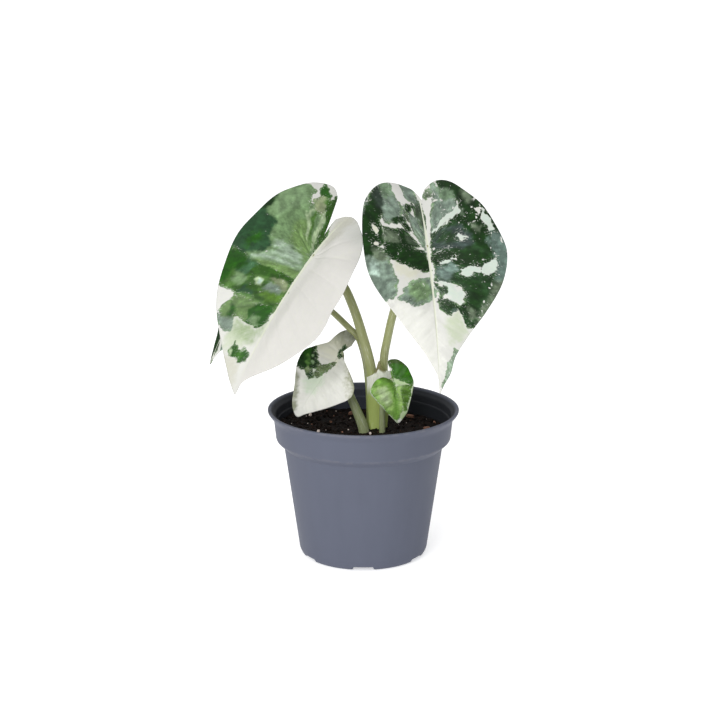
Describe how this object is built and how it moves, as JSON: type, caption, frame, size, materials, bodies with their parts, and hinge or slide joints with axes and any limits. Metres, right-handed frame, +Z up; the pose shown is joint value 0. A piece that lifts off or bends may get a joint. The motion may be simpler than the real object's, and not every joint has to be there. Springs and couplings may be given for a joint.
{
  "type": "potted alocasia",
  "caption": "Small variegated alocasia with heart-shaped green and white leaves on upright stalks, growing from a corm in a stepped round plastic nursery pot filled with soil.",
  "frame": {"origin": "middle of the pot's base, on the surface that the pot stands on", "axes": "+Z up through the pot's middle, +X to the right and -Y to the front, the side that the two large leaves face"},
  "size_m": [0.1866, 0.121, 0.2347],
  "materials": {
    "pot_plastic": "satin",
    "soil": "matte",
    "corm_skin": "matte",
    "leaf_variegated": "satin",
    "leaf_white": "satin",
    "leaf_green": "satin",
    "stalk": "satin",
    "sheath": "satin",
    "bark": "matte",
    "perlite": "matte"
  },
  "bodies": {
    "root": {"pot": "pot_plastic", "soil": "soil", "corm": "corm_skin", "left_leaf_blade": "leaf_variegated", "right_leaf_blade": "leaf_variegated", "back_leaf_blade": "leaf_variegated", "small_white_leaf_blade": "leaf_white", "small_green_leaf_blade": "leaf_green", "left_leaf_stalk": "stalk", "right_leaf_stalk": "stalk", "back_leaf_stalk": "stalk", "small_white_leaf_stalk": "stalk", "small_green_leaf_stalk": "stalk", "stalk_sheath": "sheath", "bark_chip_1": "bark", "bark_chip_2": "bark", "bark_chip_3": "bark", "bark_chip_4": "bark", "bark_chip_5": "bark", "bark_chip_6": "bark", "bark_chip_7": "bark", "bark_chip_8": "bark", "perlite_1": "perlite", "perlite_2": "perlite", "perlite_3": "perlite", "perlite_4": "perlite", "perlite_5": "perlite", "perlite_6": "perlite", "perlite_7": "perlite", "perlite_8": "perlite"}
  },
  "joints": []
}
